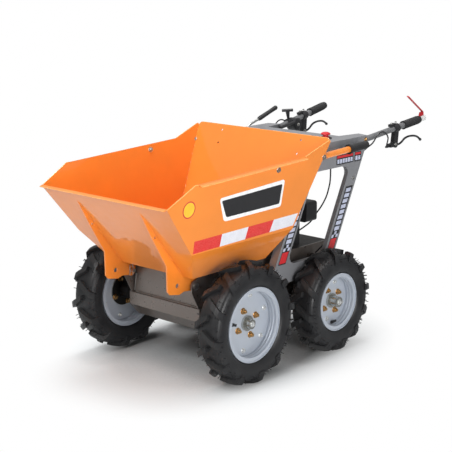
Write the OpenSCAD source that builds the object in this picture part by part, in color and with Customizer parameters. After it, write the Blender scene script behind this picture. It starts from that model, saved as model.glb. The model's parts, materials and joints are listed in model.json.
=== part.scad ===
// Walk-behind four wheel site dumper with a forward tipping skip, in millimetres.
// X points forward, Y to the left and Z up. The origin lies on the ground, under the
// middle of the outline between the skip's lip and the end of the left handle.

/* [Wheels] */
// Distance between the front and rear axle centres
wheelbase = 506; // [440:1:600]
// Gap between the side frames and the tyres
tyre_gap = 14; // [8:1:40]
// Front tyre radius at the lug tips
front_tyre_r = 230; // [215:1:245]
// Rear tyre radius at the lug tips
rear_tyre_r = 205; // [190:1:220]
// Width of a tyre over its lugs
tyre_w = 112; // [102:1:122]
// Height of the tread lugs
lug_h = 16; // [8:1:20]
// Width of a lug at the middle of the tread
lug_nose_w = 20; // [14:1:30]
// Width of a lug at the shoulder
lug_tail_w = 26; // [18:1:38]
// How far a lug runs round the tyre from nose to tail
lug_sweep = 46; // [20:1:60]
// Lugs on each side of a tyre
lug_count = 12; // [9:1:14]
// Bead seat radius of the front rims
front_bead_r = 127; // [114:0.5:133]
// Bead seat radius of the rear rims
rear_bead_r = 101.5; // [95:0.5:114]
// Width between the rim flanges
rim_w = 76; // [66:1:84]
// Height of the rim flange above the bead seat
rim_flange_h = 14; // [10:0.5:17]
// Sheet thickness of the rims
rim_t = 3; // [2:0.5:5]
// Radius of the hub collars
hub_r = 29; // [24:0.5:34]
// Reach of the hub collars outside the tyre mid plane
hub_collar = 12; // [8:0.5:18]
// Radius of the front hub noses
front_nose_r = 18.5; // [17:0.5:22]
// Radius of the rear hub noses
rear_nose_r = 21; // [18:0.5:24]
// Radius of the hub flanges
hub_flange_r = 62; // [56:1:68]
// Thickness of the hub flanges
hub_flange_t = 8; // [5:0.5:12]
// Reach of the front hubs outside the tyre mid plane
front_hub_reach = 31; // [20:1:48]
// Reach of the rear hubs outside the tyre mid plane
rear_hub_reach = 46; // [30:1:56]
// Reach of the hubs inside the tyre mid plane
hub_inner_reach = 62; // [40:1:70]
// Radius of both axles
axle_r = 15; // [12:0.5:18]

/* [Skip] */
// Height of the skip floor's underside above the ground
floor_z = 405; // [395:1:430]
// Length of the flat skip floor
floor_l = 403; // [380:1:430]
// Rear edge of the skip floor, forward of the wheelbase middle
floor_rear_x = 6; // [0:1:20]
// Half width of the skip floor
floor_half_w = 212; // [190:1:230]
// How far the lip stands forward of the floor's front edge
lip_run = 239.5; // [180:0.5:260]
// Height of the lip above the floor's underside
lip_rise = 307; // [270:1:340]
// How far the rear wall leans back over its height
rear_lean = 228; // [160:1:240]
// Height of the rear wall above the floor's underside
rear_rise = 451; // [425:1:480]
// Height of the side bend above the floor's underside
bend_rise = 119; // [90:1:150]
// Half width of the skip at the side bend
bend_half_w = 296; // [280:1:310]
// Half width of the skip at the rear wall's top
top_half_w = 348; // [335:1:360]
// Height of the rim above the floor at the front chamfer
rim_front_rise = 374; // [350:1:390]
// Length of the front rim chamfer along the machine
rim_chamfer = 129; // [60:1:160]
// Height of the rim above the floor where the rear corner rises
rim_rear_rise = 398; // [380:1:415]
// Length of the raised rear corner along the machine
corner_l = 150; // [90:1:190]
// Sheet thickness of the skip
skip_t = 3; // [2:0.5:5]
// Width of the folded rim
rim_fold = 15; // [8:0.5:20]
// Width of the folded front lip
lip_fold = 11; // [6:0.5:16]
// Radius of the holes in the rear wall
wall_hole_r = 4; // [2.5:0.5:6]
// Half distance between the holes in the rear wall
wall_hole_y = 207; // [150:1:260]
// Radius of the tip handle
tip_tube_r = 12.5; // [10:0.5:15]
// Wall of the tip handle tube
tip_tube_t = 2.5; // [1.5:0.5:4]
// How far the tip handle stands out behind the wheelbase middle
tip_reach = 477; // [440:1:520]
// Length of the tip handle inside the skip
tip_inside = 290; // [200:1:330]
// Radius of the tip handle's grip
tip_grip_r = 16; // [15:0.5:22]
// Length of the tip handle's grip
tip_grip_l = 113; // [90:1:140]

/* [Pivot] */
// Height of the tipping axis
pivot_z = 362; // [350:1:375]
// Tipping axis forward of the wheelbase middle
pivot_x = 360; // [350:1:370]
// Radius of the pivot pins
pin_r = 8; // [6:0.5:10]
// Radius of the eyes round the pivot pins
eye_r = 22; // [16:0.5:26]
// Half distance to the middle of the pivot fins
fin_y = 163; // [150:1:166]
// Thickness of the pivot fins
fin_t = 6; // [4:0.5:8]
// Radius of the hole in a fin's foot
foot_hole_r = 9; // [6:0.5:11]
// Radius of the upper hole in a fin
fin_hole_r = 5; // [3:0.5:7]

/* [Chassis] */
// Half width of the chassis over its side plates
chassis_half_w = 180; // [176:1:190]
// Thickness of the chassis side plates
side_t = 6; // [4:0.5:8]
// Thickness of the other chassis sheets
sheet_t = 5; // [3:0.5:6]
// Height of the deck's top face
deck_z = 395; // [380:1:398]
// Front panel's outer face, forward of the wheelbase middle
panel_x = 332; // [320:1:334]
// Rear end of the chassis behind the wheelbase middle
chassis_rear = 430; // [400:1:470]
// Half length of an axle case
case_half_l = 94; // [80:1:105]
// How far an axle case stands out beyond the chassis side plates
case_out = 5; // [0:0.5:10]
// Height of an axle case above its axle
case_above = 40; // [34:1:46]
// Depth of an axle case below its axle
case_below = 58; // [45:1:70]
// Radius of the bearing bosses on the axle cases
boss_r = 34; // [28:1:40]
// Length of the bearing bosses
boss_l = 12; // [8:1:16]
// Radius of the rear brake drums
drum_r = 72; // [60:1:80]
// Width of the rear brake drums
drum_w = 34; // [26:1:38]
// Length of the brake arms from the axle
brake_arm_l = 158; // [125:1:170]

/* [Side frames] */
// Outer half width over the side frames
frame_half_w = 260; // [254:1:266]
// Thickness of the side frame plates
frame_t = 6; // [4:0.5:8]
// Depth of the folded edges of the side frames
frame_fold = 28; // [18:1:32]
// Depth of the folded edge round the window
window_fold = 12; // [6:1:28]
// Thickness of the folded edges
fold_t = 4; // [3:0.5:5]
// Height of the side frames' lower edge
frame_low_z = 300; // [290:1:320]
// Height of the window's lower edge
window_low_z = 371; // [360:1:385]
// Height of the window's upper edge
window_top_z = 712; // [690:1:730]
// Front foot of the side frames, forward of the wheelbase middle
frame_foot_x = 40; // [20:1:44]
// Length of the side frames along the machine
frame_l = 375; // [350:1:400]
// Width of the legs along the machine
leg_w = 70; // [60:1:95]
// How far the legs lean back for each millimetre of height
leg_lean = 0.49; // [0.4:0.01:0.55]
// Corner radius of the window
window_r = 30; // [12:1:40]

/* [Console and handles] */
// Height of the console's top face
console_z = 820; // [800:1:835]
// Sheet thickness of the console
console_t = 4; // [2:0.5:5]
// Height of the console's skirt
console_skirt = 30; // [20:1:40]
// Rear edge of the console's ears behind the wheelbase middle
console_rear = 588; // [570:1:595]
// Rear edge of the console between its ears
console_mid = 479; // [430:1:520]
// Half distance between the ears at their root
ear_root = 189; // [170:1:200]
// Half distance between the ears at their ends
ear_in = 208; // [190:1:214]
// Radius of the handlebars
bar_r = 12.5; // [10:0.5:14]
// Wall of the handlebar tubes
bar_t = 2.5; // [1.5:0.5:4]
// Rise of the left handlebar in degrees
bar_rise = 7.2; // [4:0.1:9]
// Rise of the right handlebar in degrees
right_rise = 10.2; // [4:0.1:11]
// Place behind the wheelbase middle where the handlebars' heights and lengths are counted
bar_from = 622; // [605:1:640]
// Outward splay of the handlebars in degrees
bar_splay = 2.9; // [0:0.1:4]
// Half distance between the handlebars at that place
bar_y = 238; // [230:1:240]
// Height of the handlebars at that place
bar_z = 801; // [790:1:802]
// Length of the left handlebar behind that place
left_bar_l = 345; // [330:1:400]
// Length of the right handlebar behind that place
right_bar_l = 341; // [310:1:400]
// Length of the handlebars forward of that place
bar_inside = 170; // [120:1:220]
// Radius of the hand grips
grip_r = 16.5; // [14.5:0.5:20]
// Length of the hand grips
grip_l = 116; // [100:1:130]

/* [Controls] */
// Place of the brake lever clamps behind the console
clamp_at = 176; // [150:1:200]
// Length of the brake lever clamps
clamp_l = 30; // [20:1:40]
// Drop of the brake lever pivots below the handlebars
lever_drop = 66; // [60:1:90]
// Reach of the brake lever pivots forward of their clamps
lever_ahead = 14; // [8:1:30]
// Length of the brake levers
lever_l = 184; // [170:1:230]
// Thickness of the brake lever blades
lever_t = 9; // [6:0.5:10]
// Length of the red presence lever
presence_l = 134; // [90:1:150]
// Rise of the presence lever above the grip in degrees
presence_rise = 42; // [20:1:60]
// Stop button's place behind the wheelbase middle
button_x = 395; // [330:1:450]
// Stop button's place left of the middle
button_y = 185; // [100:1:210]
// Radius of the stop button
button_r = 20; // [14:0.5:24]

/* [Engine] */
// Engine shaft's place behind the wheelbase middle
shaft_x = 250; // [235:1:265]
// Engine shaft's height above the deck
shaft_up = 106; // [96:1:116]
// Half length of the crankcase along the shaft
crank_half = 84; // [70:1:95]
// Radius of the fan shroud
shroud_r = 108; // [96:1:116]
// Depth of the fan shroud along the shaft
shroud_d = 62; // [50:1:70]
// Length of the fuel tank along the machine
tank_l = 190; // [160:1:210]
// Width of the fuel tank
tank_w = 240; // [200:1:260]
// Height of the fuel tank
tank_h = 84; // [60:1:100]

/* [Hidden] */
$fn = 48;

// Clearances
run_fit = 0.05;
seat_fit = 0.3;
// Colours
orange = [0.93, 0.45, 0.12];
steel = [0.46, 0.43, 0.40];
grey = [0.47, 0.47, 0.49];
silver = [0.66, 0.68, 0.71];
zinc = [0.74, 0.74, 0.70];
black = [0.10, 0.10, 0.11];
rubber = [0.14, 0.14, 0.15];
red = [0.75, 0.12, 0.14];
white = [0.88, 0.88, 0.86];
// Axle places
front_x = wheelbase / 2;
rear_x = -wheelbase / 2;
wheel_y = frame_half_w + tyre_gap + tyre_w / 2;
// Corners of the skip seen from the side
floor_front_x = floor_rear_x + floor_l;
lip_x = floor_front_x + lip_run;
lip_z = floor_z + lip_rise;
rear_top_x = floor_rear_x - rear_lean;
rear_top_z = floor_z + rear_rise;
rim_front_x = lip_x - rim_chamfer;
rim_front_z = floor_z + rim_front_rise;
rim_rear_z = floor_z + rim_rear_rise;
corner_x = rear_top_x + corner_l;
bend_z = floor_z + bend_rise;
side_slope = (top_half_w - bend_half_w) / (rear_top_z - bend_z);
side_tilt = atan(side_slope);
face_slope = lip_run / lip_rise;
// Handle ends and the shift that puts the origin under the outline's middle
cap_l = 33;
left_end_l = left_bar_l + cap_l;
cap_r = 13;
lip_fold_drop = 20;
rear_end = bar_from + left_end_l * cos(bar_rise) * cos(bar_splay) + cap_r * sin(bar_rise);
front_end = lip_x + lip_fold * cos(lip_fold_drop);
shift_x = (rear_end - front_end) / 2;
// Engine heights
shaft_z = deck_z + shaft_up;
deck_rear_x = -chassis_rear;

// Unit vector of a flat direction
function unit(v) = v / norm(v);
// The same direction turned a quarter to the left
function left_of(v) = [-v[1], v[0]];
// A flat path moved sideways by t with mitred corners
function moved(path, t) = [for (i = [0 : len(path) - 1])
    let (a = unit(i > 0 ? path[i] - path[i - 1] : path[1] - path[0]),
         b = i < len(path) - 1 ? unit(path[i + 1] - path[i]) : a,
         m = left_of(a) + left_of(b))
    path[i] + m * (2 * t / (m * m))];
function backwards(path) = [for (i = [len(path) - 1 : -1 : 0]) path[i]];
// Outline of a bent sheet of thickness t
function strip(path, t) = concat(path, backwards(moved(path, t)));
// Half width of the skip's outside at a height above the bend
function side_y(z) = bend_half_w + side_slope * (z - bend_z);
// Place of the skip's front face at a height
function face_x(z) = lip_x - face_slope * (lip_z - z);
// Lean of the side frames at a height
function lean(z) = -leg_lean * (z - frame_low_z);
// A point along the left handlebar
function on_bar(l, rise = bar_rise) = [-bar_from - l * cos(rise) * cos(bar_splay),
    bar_y + l * cos(rise) * sin(bar_splay), bar_z + l * sin(rise)];
// A point beside the handlebar, square to it and up
function over_bar(l, up, rise) = on_bar(l, rise)
    + up * [sin(rise) * cos(bar_splay), -sin(rise) * sin(bar_splay), cos(rise)];

module centred() {
    translate([shift_x, 0, 0]) children();
}

module both_sides() {
    children();
    mirror([0, 1, 0]) children();
}

// Draws an outline given as X and Z across the machine between two Y places
module across(y0, y1) {
    translate([0, y1, 0]) rotate([90, 0, 0]) linear_extrude(y1 - y0) children();
}

// Draws an outline given as Y and Z along the machine between two X places
module along(x0, x1) {
    translate([x0, 0, 0]) rotate([90, 0, 90]) linear_extrude(x1 - x0) children();
}

// A round rod from one point to another
module rod(p, q, r) {
    d = q - p;
    translate(p) rotate([0, acos(d[2] / norm(d)), atan2(d[1], d[0])]) cylinder(h = norm(d), r = r);
}

// Moves children, drawn along Z with X up, to a place on a handlebar
module on_left_bar(l, rise = bar_rise) {
    translate(on_bar(l, rise)) rotate([0, 0, -bar_splay]) rotate([0, -90 + rise, 0]) children();
}

module on_right_bar(l) {
    mirror([0, 1, 0]) on_left_bar(l, right_rise) children();
}

// A flat plate with rounded corners, drawn in its own plane
module round_plate(l, w, r) {
    translate([r, 0]) square([l - 2 * r, w]);
    translate([0, r]) square([l, w - 2 * r]);
    for (x = [r, l - r], y = [r, w - r]) translate([x, y]) circle(r = r);
}

// Sweeps a round tube along points that never head straight across the machine
function ring_at(p, d, r, n) =
    let (k = unit(d), u = unit(cross(k, [0, 1, 0])), v = cross(k, u))
    [for (i = [0 : n - 1]) p + r * (cos(360 * i / n) * u + sin(360 * i / n) * v)];

module swept_tube(pts, r, n) {
    m = len(pts);
    rings = [for (i = [0 : m - 1])
        ring_at(pts[i], pts[min(i + 1, m - 1)] - pts[max(i - 1, 0)], r, n)];
    walls = [for (i = [0 : m - 2], j = [0 : n - 1])
        [i * n + j, (i + 1) * n + j, (i + 1) * n + (j + 1) % n, i * n + (j + 1) % n]];
    polyhedron(points = [for (ring = rings, p = ring) p],
        faces = concat([[for (j = [0 : n - 1]) j]], walls,
            [[for (j = [n - 1 : -1 : 0]) (m - 1) * n + j]]), convexity = 6);
}

// Points of a smooth curve through a list of points
function curve_point(a, b, c, d, t) = 0.5 * (2 * b + (c - a) * t
    + (2 * a - 5 * b + 4 * c - d) * t * t + (3 * b - a - 3 * c + d) * t * t * t);
function smooth(pts, steps) = concat([for (i = [0 : len(pts) - 2], s = [0 : steps - 1])
    curve_point(pts[max(i - 1, 0)], pts[i], pts[i + 1], pts[min(i + 2, len(pts) - 1)], s / steps)],
    [pts[len(pts) - 1]]);

// Wheels, drawn with their axis along Z and their outside up

// Half of a tyre's section, from the bead to the crown
bead_half = rim_w / 2 - seat_fit;
wall_half = tyre_w / 2 - 3;
crown_power = 0.62;
section_steps = 7;
function tyre_half(crown_r, bead_r) =
    let (low = bead_r + rim_flange_h + 1, wide = (low + crown_r) / 2)
    concat([[bead_r + seat_fit, bead_half]],
        [for (i = [0 : section_steps]) let (q = 90 - 90 * i / section_steps)
            [wide - (wide - low) * sin(q), bead_half + (wall_half - bead_half) * cos(q)]],
        [for (i = [1 : section_steps]) let (q = 90 * i / section_steps)
            [wide + (crown_r - wide) * pow(sin(q), crown_power),
             i == section_steps ? 0 : wall_half * pow(cos(q), crown_power)]]);
function mirrored(half) = concat(half, [for (p = backwards(half)) if (p[1] > 0) [p[0], -p[1]]]);

module tyre_envelope(r) {
    rotate_extrude()
        polygon([[r - 3 * lug_h, -tyre_w / 2], [r - 2 * lug_h, -tyre_w / 2], [r - lug_h / 2, -tyre_w * 0.44],
            [r - lug_h / 6, -tyre_w * 0.3], [r, -tyre_w * 0.1], [r, tyre_w * 0.1],
            [r - lug_h / 6, tyre_w * 0.3], [r - lug_h / 2, tyre_w * 0.44],
            [r - 2 * lug_h, tyre_w / 2], [r - 3 * lug_h, tyre_w / 2]]);
}

module lug(r) {
    depth = 3 * lug_h;
    over = 8;
    intersection() {
        tyre_envelope(r);
        translate([r - depth + 1, 0, 0]) rotate([90, 0, 90]) linear_extrude(depth)
            polygon([[-lug_sweep / 2, -over], [lug_nose_w - lug_sweep / 2, -over],
                [lug_sweep / 2 + lug_tail_w, tyre_w / 2 + over], [lug_sweep / 2, tyre_w / 2 + over]]);
    }
}

module tyre(r, bead_r) {
    rotate_extrude() polygon(mirrored(tyre_half(r - lug_h, bead_r)));
    for (i = [0 : lug_count - 1]) {
        rotate(360 * i / lug_count) lug(r);
        rotate(360 * (i + 0.5) / lug_count) mirror([0, 0, 1]) lug(r);
    }
}

// Split rim, whose two halves meet in a flat disc
disc_t = 2 * rim_t;
module rim(bead_r) {
    h = rim_w / 2;
    curl = 7;
    rotate_extrude() {
        polygon([[bead_r - rim_t, -h - rim_t], [bead_r + rim_flange_h - rim_t, -h - rim_t],
            [bead_r + rim_flange_h - rim_t, -h - curl], [bead_r + rim_flange_h, -h - curl],
            [bead_r + rim_flange_h, -h], [bead_r, -h], [bead_r, h], [bead_r + rim_flange_h, h],
            [bead_r + rim_flange_h, h + curl], [bead_r + rim_flange_h - rim_t, h + curl],
            [bead_r + rim_flange_h - rim_t, h + rim_t], [bead_r - rim_t, h + rim_t]]);
        translate([hub_r + seat_fit, -disc_t / 2]) square([bead_r - rim_t / 2 - hub_r - seat_fit, disc_t]);
    }
}

module hub(reach, nose_r) {
    cap_t = 5;
    difference() {
        union() {
            translate([0, 0, -hub_inner_reach]) cylinder(h = hub_inner_reach + hub_collar, r = hub_r);
            translate([0, 0, -disc_t / 2 - hub_flange_t]) cylinder(h = hub_flange_t, r = hub_flange_r);
            cylinder(h = reach, r = nose_r);
        }
        translate([0, 0, -hub_inner_reach - 1])
            cylinder(h = hub_inner_reach + reach - cap_t + 1, r = axle_r + run_fit);
    }
}

module wheel_at(x, r, left) {
    centred() mirror([0, left ? 0 : 1, 0]) translate([x, wheel_y, r]) rotate([-90, 0, 0]) children();
}

module tyre_fl() { color(rubber) wheel_at(front_x, front_tyre_r, true) tyre(front_tyre_r, front_bead_r); }
module tyre_fr() { color(rubber) wheel_at(front_x, front_tyre_r, false) tyre(front_tyre_r, front_bead_r); }
module tyre_rl() { color(rubber) wheel_at(rear_x, rear_tyre_r, true) tyre(rear_tyre_r, rear_bead_r); }
module tyre_rr() { color(rubber) wheel_at(rear_x, rear_tyre_r, false) tyre(rear_tyre_r, rear_bead_r); }
module rim_fl() { color(silver) wheel_at(front_x, front_tyre_r, true) rim(front_bead_r); }
module rim_fr() { color(silver) wheel_at(front_x, front_tyre_r, false) rim(front_bead_r); }
module rim_rl() { color(silver) wheel_at(rear_x, rear_tyre_r, true) rim(rear_bead_r); }
module rim_rr() { color(silver) wheel_at(rear_x, rear_tyre_r, false) rim(rear_bead_r); }
module hub_fl() { color(zinc) wheel_at(front_x, front_tyre_r, true) hub(front_hub_reach, front_nose_r); }
module hub_fr() { color(zinc) wheel_at(front_x, front_tyre_r, false) hub(front_hub_reach, front_nose_r); }
module hub_rl() { color(zinc) wheel_at(rear_x, rear_tyre_r, true) hub(rear_hub_reach, rear_nose_r); }
module hub_rr() { color(zinc) wheel_at(rear_x, rear_tyre_r, false) hub(rear_hub_reach, rear_nose_r); }

// Skip, folded from one sheet for front, floor and rear and one for each side

floor_path = [[lip_x + lip_fold * cos(lip_fold_drop), lip_z - lip_fold * sin(lip_fold_drop)], [lip_x, lip_z],
    [floor_front_x, floor_z], [floor_rear_x, floor_z], [rear_top_x, rear_top_z]];
side_path = [[floor_half_w, floor_z], [bend_half_w, bend_z], [top_half_w, rear_top_z]];
side_inner = moved(side_path, skip_t);
side_foot_slope = (bend_half_w - floor_half_w) / bend_rise;
skip_reach = 2 * lip_x;
tip_z = floor_z + rim_rear_rise - 17;
tip_fall = 2.6;
tip_front_x = tip_inside - 200;

function tip_point(x) = let (z = tip_z - (x + 200) * tan(tip_fall))
    [x, side_y(z) - skip_t / cos(side_tilt) - tip_tube_r / cos(side_tilt) - seat_fit, z];

// Rounded corner at b between the lines to a and c, cut back by d
function eased(a, b, c, d) = let (p = b + d * unit(a - b), q = b + d * unit(c - b))
    [for (t = [0 : 0.25 : 1]) (1 - t) * (1 - t) * p + 2 * t * (1 - t) * b + t * t * q];
corner_ease = 24;

module skip_inside_section() {
    top = side_inner[2] - seat_fit * [side_slope, 1];
    half = concat([side_inner[0] - 2 * skip_t * [side_foot_slope, 1]], [side_inner[0], side_inner[1]],
        eased(side_inner[1], top, [0, top[1]], corner_ease));
    polygon(concat(half, [for (p = backwards(half)) [-p[0], p[1]]]));
}

// Two pairs of holes through the rear wall, at these heights below its top
wall_hole_drops = [21, 71];
module wall_holes() {
    across_wall = 20 * unit([rear_rise, 0, rear_lean]);
    for (drop = wall_hole_drops, y = [-wall_hole_y, wall_hole_y]) {
        p = [rear_top_x + drop * rear_lean / rear_rise, y, rear_top_z - drop];
        rod(p - across_wall, p + across_wall, wall_hole_r);
    }
}

module skip_floor() {
    color(orange) centred() difference() {
        intersection() {
            across(-skip_reach, skip_reach) polygon(strip(floor_path, -skip_t));
            along(-skip_reach, skip_reach) skip_inside_section();
        }
        rod(tip_point(-tip_reach), tip_point(tip_front_x), tip_tube_r + seat_fit);
        wall_holes();
    }
}

rim_start = [rim_front_x - 16, rim_front_z + 1];
module rim_flange() {
    a = [rim_start[0], side_y(rim_start[1]), rim_start[1]];
    b = [corner_x, side_y(rim_rear_z), rim_rear_z];
    d = a - b;
    fall = 25;
    translate(b) rotate([0, atan2(-d[2], d[0]), atan2(d[1], d[0])]) rotate([90, 0, 90]) linear_extrude(norm(d))
        polygon(strip([[-skip_t / 2, -2 * skip_t], [-skip_t / 2, -skip_t / 2],
            [rim_fold * cos(fall), -rim_fold * sin(fall)]], -skip_t * 0.9));
}

module skip_side() {
    intersection() {
        across(floor_half_w / 2, skip_reach)
            polygon(concat([[floor_rear_x, floor_z], [floor_front_x, floor_z], [lip_x, lip_z],
                [rim_front_x, rim_front_z], [corner_x, rim_rear_z]],
                eased([corner_x, rim_rear_z], [rear_top_x, rear_top_z], [floor_rear_x, floor_z], corner_ease)));
        along(-skip_reach, skip_reach) polygon(strip(side_path, skip_t));
    }
    rim_flange();
}

module skip_side_left() { color(orange) centred() skip_side(); }
module skip_side_right() { color(orange) centred() mirror([0, 1, 0]) skip_side(); }

fin_top_z = lip_z - 36;
fin_knee_z = floor_z + 52;
foot_out = 43;
foot_x = floor_front_x + 22;
foot_z = floor_z - 63;
module pivot_fin() {
    across(fin_y - fin_t / 2, fin_y + fin_t / 2) difference() {
        union() {
            polygon([[face_x(fin_top_z), fin_top_z], [face_x(fin_top_z - 90) + 20, fin_top_z - 90],
                [face_x(fin_knee_z) + foot_out, fin_knee_z], [face_x(fin_knee_z) + foot_out - 3, foot_z + 22],
                [face_x(fin_knee_z) + foot_out - 14, foot_z + 9], [foot_x, foot_z],
                [foot_x - 23, foot_z + 7], [pivot_x, pivot_z - eye_r * 0.8], [pivot_x - eye_r, pivot_z],
                [pivot_x - eye_r, floor_z], [floor_front_x, floor_z]]);
            translate([pivot_x, pivot_z]) circle(r = eye_r);
        }
        translate([pivot_x, pivot_z]) circle(r = pin_r + run_fit);
        translate([foot_x + 9, foot_z + 35]) circle(r = foot_hole_r);
        translate([face_x(fin_top_z - 101) + 10, fin_top_z - 101]) circle(r = fin_hole_r);
    }
}

module pivot_fins() { color(orange) centred() both_sides() pivot_fin(); }

module tip_handle() {
    color(orange) centred() difference() {
        rod(tip_point(-tip_reach), tip_point(tip_front_x), tip_tube_r);
        rod(tip_point(-tip_reach - 1), tip_point(tip_front_x + 1), tip_tube_r - tip_tube_t);
    }
}

module tip_grip() {
    p = tip_point(-tip_reach);
    d = tip_point(0) - p;
    flange_l = 6;
    color(black) centred() translate(p) rotate([0, acos(d[2] / norm(d)), atan2(d[1], d[0])]) rotate_extrude()
        polygon([[0, -9], [tip_grip_r - 4, -9], [tip_grip_r - 1, -6], [tip_grip_r, 0],
            [tip_grip_r, tip_grip_l - flange_l], [tip_grip_r + 4, tip_grip_l - flange_l],
            [tip_grip_r + 4, tip_grip_l], [tip_tube_r + seat_fit, tip_grip_l], [tip_tube_r + seat_fit, -seat_fit],
            [0, -seat_fit]]);
}

// Chassis

front_case_z = front_tyre_r + case_above;
rear_case_z = rear_tyre_r + case_above;
plate_in = chassis_half_w - side_t;
case_half_w = chassis_half_w + case_out;
gusset = 12;

module chassis_side() {
    across(plate_in, chassis_half_w) difference() {
        union() {
            polygon([[panel_x + gusset, front_case_z], [front_x - case_half_l, front_case_z],
                [rear_x + case_half_l, rear_case_z], [rear_x - case_half_l, rear_case_z],
                [deck_rear_x, frame_low_z], [deck_rear_x, deck_z], [pivot_x - eye_r, deck_z],
                [pivot_x + eye_r * 0.7, pivot_z + eye_r * 0.7], [pivot_x + eye_r * 0.9, pivot_z - eye_r * 0.2],
                [pivot_x + eye_r * 0.9, pivot_z - eye_r]]);
            translate([pivot_x, pivot_z]) circle(r = eye_r);
        }
        translate([pivot_x, pivot_z]) circle(r = pin_r + seat_fit);
    }
    translate([panel_x - 2 * sheet_t, plate_in - 24, front_case_z]) cube([sheet_t, 24, deck_z - sheet_t - front_case_z]);
}

module chassis_sides() { color(steel) centred() both_sides() chassis_side(); }

module chassis_front_panel() {
    color(steel) centred() along(panel_x - sheet_t, panel_x)
        polygon([[-plate_in + 6, front_case_z], [plate_in - 6, front_case_z],
            [plate_in - 22, deck_z - sheet_t], [-plate_in + 22, deck_z - sheet_t]]);
}

module chassis_deck() {
    color(steel) centred() translate([deck_rear_x, -plate_in, deck_z - sheet_t])
        cube([chassis_rear + panel_x, 2 * plate_in, sheet_t]);
}

module chassis_pan() {
    color(steel) centred() {
        across(-plate_in, plate_in) polygon(strip([[front_x - case_half_l, front_case_z - sheet_t],
            [rear_x + case_half_l + 2 * seat_fit, rear_case_z - sheet_t]], -sheet_t));
        across(-plate_in, plate_in) polygon(strip([[rear_x - case_half_l, rear_case_z],
            [deck_rear_x, frame_low_z], [deck_rear_x, deck_z - sheet_t]], -sheet_t));
    }
}

module axle_case(x, z) {
    low = 0.52;
    translate([x, 0, z]) difference() {
        union() {
            across(-case_half_w, case_half_w) polygon([[case_half_l, case_above], [case_half_l, -9],
                [case_half_l * low, -case_below], [-case_half_l * low, -case_below], [-case_half_l, -9],
                [-case_half_l, case_above]]);
            rotate([90, 0, 0]) cylinder(h = 2 * (case_half_w + boss_l), r = boss_r, center = true);
        }
        rotate([90, 0, 0]) cylinder(h = 2 * (case_half_w + boss_l) + 2, r = axle_r + seat_fit, center = true);
    }
}

module axle_case_front() { color(steel) centred() axle_case(front_x, front_tyre_r); }
module axle_case_rear() { color(steel) centred() axle_case(rear_x, rear_tyre_r); }

end_gap = 6;
module axles() {
    color(zinc) centred() {
        translate([front_x, 0, front_tyre_r]) rotate([90, 0, 0])
            cylinder(h = 2 * (wheel_y + front_hub_reach - end_gap), r = axle_r, center = true);
        translate([rear_x, 0, rear_tyre_r]) rotate([90, 0, 0])
            cylinder(h = 2 * (wheel_y + rear_hub_reach - end_gap), r = axle_r, center = true);
    }
}

module rest_pads() {
    pad_r = 22;
    color(rubber) centred() both_sides() translate([floor_rear_x + 60, plate_in - 60, deck_z])
        cylinder(h = floor_z - deck_z - seat_fit, r = pad_r);
}

module pivot_pins() {
    head_t = 6;
    inner = fin_y - fin_t / 2 - 16;
    color(zinc) centred() both_sides() translate([pivot_x, 0, pivot_z]) rotate([-90, 0, 0]) {
        translate([0, 0, inner]) cylinder(h = chassis_half_w - inner, r = pin_r);
        translate([0, 0, chassis_half_w]) cylinder(h = head_t, r = pin_r + 5);
        translate([0, 0, fin_y + fin_t / 2 + 1]) cylinder(h = plate_in - fin_y - fin_t / 2 - 1, r = pin_r + 5);
    }
}

// Side frames, console and handles

function leg_front(z) = frame_foot_x + lean(z);
function leg_rear(z) = frame_foot_x - frame_l + lean(z);
frame_top_z = console_z - console_t;
foot_taper = 20;
front_foot_l = 170;
rear_foot_l = 34;

module frame_outline() {
    notch_x = -console_rear + corner_cut + console_t + seat_fit;
    notch_z = console_z - console_skirt - seat_fit;
    polygon([[leg_front(frame_low_z), frame_low_z], [leg_front(frame_top_z), frame_top_z],
        [notch_x, frame_top_z], [notch_x, notch_z], [leg_rear(notch_z), notch_z],
        [leg_rear(frame_low_z), frame_low_z]]);
}

// Leaning window with round corners
corner_steps = 8;
function window_outline(grow) =
    let (r = window_r, z0 = window_low_z - grow + r, z1 = window_top_z + grow - r, tilt = atan(leg_lean),
         side = leg_w - grow + r / cos(tilt), turns = [-90, tilt, 90, 180 + tilt, 270],
         mids = [[leg_front(z0) - side, z0], [leg_front(z1) - side, z1],
             [leg_rear(z1) + side, z1], [leg_rear(z0) + side, z0]])
    [for (i = [0 : 3], k = [0 : corner_steps])
        let (q = turns[i] + (turns[i + 1] - turns[i]) * k / corner_steps)
        mids[i] + r * [cos(q), sin(q)]];

module side_frame() {
    inner = frame_half_w - frame_t;
    bite = 1;
    difference() {
        union() {
            across(inner, frame_half_w) frame_outline();
            // Folded edge round the window
            across(inner - window_fold, inner + bite) polygon(window_outline(fold_t));
            // Folded edges down the front and rear
            across(inner - frame_fold, inner + bite) {
                polygon(strip([[leg_front(frame_low_z), frame_low_z],
                    [leg_front(frame_top_z - console_skirt - 10), frame_top_z - console_skirt - 10]], fold_t));
                polygon(strip([[leg_rear(frame_low_z), frame_low_z],
                    [leg_rear(frame_top_z - console_skirt - 30), frame_top_z - console_skirt - 30]], -fold_t));
            }
        }
        across(inner - frame_fold - bite, frame_half_w + bite) polygon(window_outline(0));
    }
    // Feet folded in to the chassis side, apart where the brake arm passes
    for (foot = [[leg_front(frame_low_z) - foot_taper - front_foot_l, front_foot_l], [rear_x - rear_foot_l, rear_foot_l]])
        translate([foot[0], chassis_half_w, frame_low_z]) cube([foot[1], inner + bite - chassis_half_w, sheet_t]);
}

module side_frame_left() { color(grey) centred() side_frame(); }
module side_frame_right() { color(grey) centred() mirror([0, 1, 0]) side_frame(); }

console_half = frame_half_w + seat_fit;
console_front_x = leg_front(console_z);
corner_cut = 16;
console_side = [[console_front_x, console_half + console_t], [-console_rear + corner_cut, console_half + console_t],
    [-console_rear, ear_in], [-console_mid, ear_root], [-console_mid, 0]];

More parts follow.
